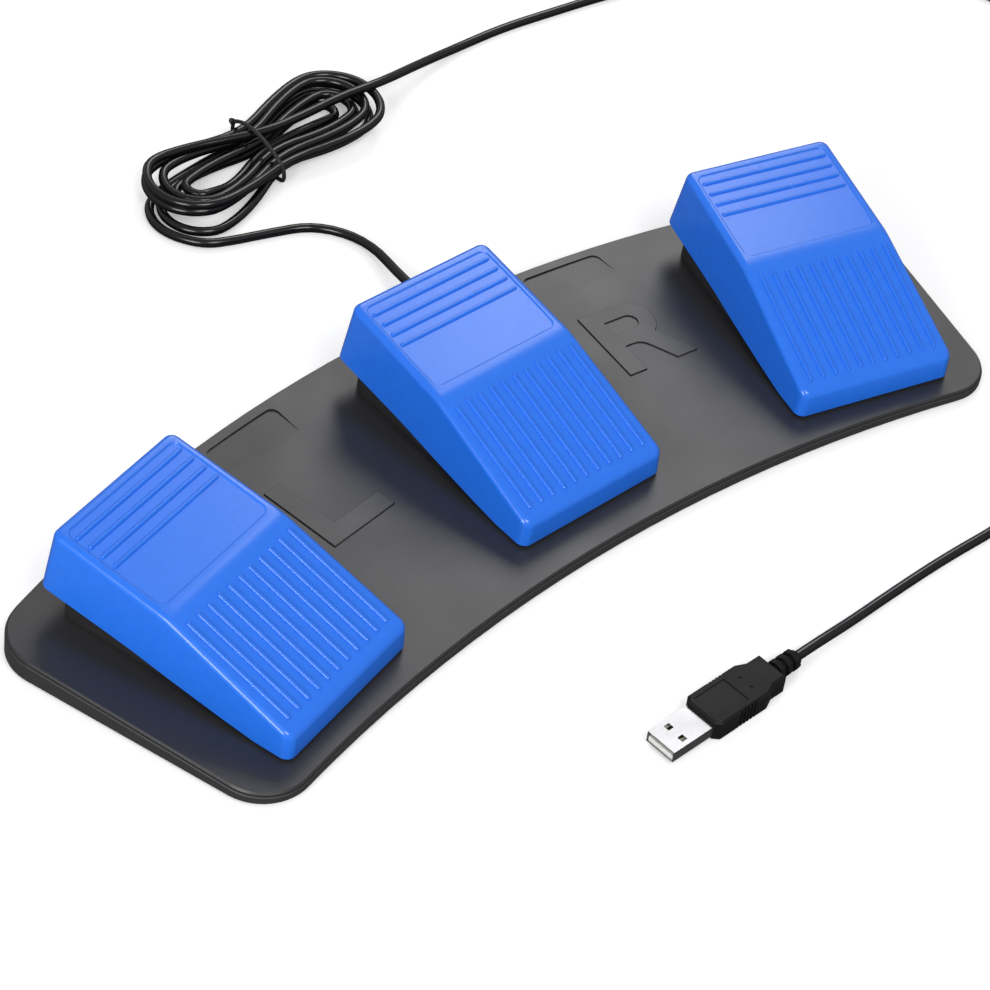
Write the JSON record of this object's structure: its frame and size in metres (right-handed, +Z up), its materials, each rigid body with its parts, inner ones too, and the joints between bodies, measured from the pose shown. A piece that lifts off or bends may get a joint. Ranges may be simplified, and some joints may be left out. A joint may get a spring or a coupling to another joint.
{
  "type": "usb foot pedal switch",
  "caption": "Foot switch with sprung, ribbed blue treadles side by side on a wide, low charcoal base, and a bundled cord with a USB plug.",
  "frame": {"origin": "on the floor, under the middle of the base and its treadles, the cord and plug left out", "axes": "+X to the user's right, along the row of pedals; +Y to the rear, where the cord leaves; +Z up"},
  "size_m": [0.5633, 0.3491, 0.048],
  "materials": {
    "deck_plastic": "matte, finely grained",
    "tray_plastic": "satin",
    "pedal_plastic": "glossy",
    "housing_plastic": "matte",
    "black_rubber": "matte",
    "steel": "satin",
    "spring_steel": "satin",
    "switch_plastic": "satin",
    "plunger_plastic": "satin",
    "brass": "bright",
    "wire_sheath": "satin",
    "core_sheath": "satin",
    "board_green": "satin",
    "chip_plastic": "matte",
    "bright_metal": "bright",
    "capacitor_ceramic": "satin",
    "header_plastic": "satin",
    "cord_sheath": "soft gloss",
    "tie_rubber": "matte",
    "plug_plastic": "satin",
    "plug_white": "satin"
  },
  "bodies": {
    "base": {"base_deck": "deck_plastic", "base_tray": "tray_plastic", "board_screws": "steel", "capacitors": "capacitor_ceramic", "case_screws": "steel", "circuit_board": "board_green", "coil_tie": "tie_rubber", "controller_chip": "chip_plastic", "cord_bushing": "black_rubber", "cord_coil": "cord_sheath", "cord_cores": "core_sheath", "cord_hank": "cord_sheath", "cord_lead": "cord_sheath", "cord_tail": "cord_sheath", "crystal": "bright_metal", "hank_tie": "tie_rubber", "housing_screws": "steel", "left_hinge_pin": "steel", "left_microswitch": "switch_plastic", "left_pedal_housing": "housing_plastic", "left_return_spring": "spring_steel", "left_switch_terminals": "brass", "left_switch_wires": "wire_sheath", "middle_hinge_pin": "steel", "middle_microswitch": "switch_plastic", "middle_pedal_housing": "housing_plastic", "middle_return_spring": "spring_steel", "middle_switch_terminals": "brass", "middle_switch_wires": "wire_sheath", "plug_contacts": "brass", "plug_insulator": "plug_white", "plug_lead": "cord_sheath", "plug_overmould": "plug_plastic", "plug_shell": "bright_metal", "right_hinge_pin": "steel", "right_microswitch": "switch_plastic", "right_pedal_housing": "housing_plastic", "right_return_spring": "spring_steel", "right_switch_terminals": "brass", "right_switch_wires": "wire_sheath", "rubber_feet": "black_rubber", "switch_headers": "header_plastic", "switch_screws": "steel", "usb_header": "header_plastic"},
    "left_pedal": {"left_treadle": "pedal_plastic"},
    "left_plunger": {"left_switch_plunger": "plunger_plastic"},
    "middle_pedal": {"middle_treadle": "pedal_plastic"},
    "middle_plunger": {"middle_switch_plunger": "plunger_plastic"},
    "right_pedal": {"right_treadle": "pedal_plastic"},
    "right_plunger": {"right_switch_plunger": "plunger_plastic"}
  },
  "joints": [
    {"name": "left_press", "type": "hinge", "parent": "base", "child": "left_pedal", "pos_m": [-0.12645, -0.05115, 0.01213], "axis": [-0.9686, -0.2484, -0.0112], "range_deg": [0, 5], "stiffness_Nm_per_rad": 1.6, "springref_deg": -5.73, "deforming": ["left_return_spring"]},
    {"name": "left_plunger_slide", "type": "slide", "parent": "base", "child": "left_plunger", "axis": [0, 0.045, -0.999], "range_m": [0, 0.00101]},
    {"name": "middle_press", "type": "hinge", "parent": "base", "child": "middle_pedal", "pos_m": [0, -0.03328, 0.01293], "axis": [-1, 0, 0], "range_deg": [0, 5], "stiffness_Nm_per_rad": 1.6, "springref_deg": -5.73, "deforming": ["middle_return_spring"]},
    {"name": "middle_plunger_slide", "type": "slide", "parent": "base", "child": "middle_plunger", "axis": [0, 0.045, -0.999], "range_m": [0, 0.00101]},
    {"name": "right_press", "type": "hinge", "parent": "base", "child": "right_pedal", "pos_m": [0.12645, -0.05115, 0.01213], "axis": [-0.9686, 0.2484, 0.0112], "range_deg": [0, 5], "stiffness_Nm_per_rad": 1.6, "springref_deg": -5.73, "deforming": ["right_return_spring"]},
    {"name": "right_plunger_slide", "type": "slide", "parent": "base", "child": "right_plunger", "axis": [0, 0.045, -0.999], "range_m": [0, 0.00101]}
  ],
  "couplings": [
    {"joint": "left_plunger_slide", "follows": "left_press", "m_per_rad": 0.0115},
    {"joint": "middle_plunger_slide", "follows": "middle_press", "m_per_rad": 0.0115},
    {"joint": "right_plunger_slide", "follows": "right_press", "m_per_rad": 0.0115}
  ]
}
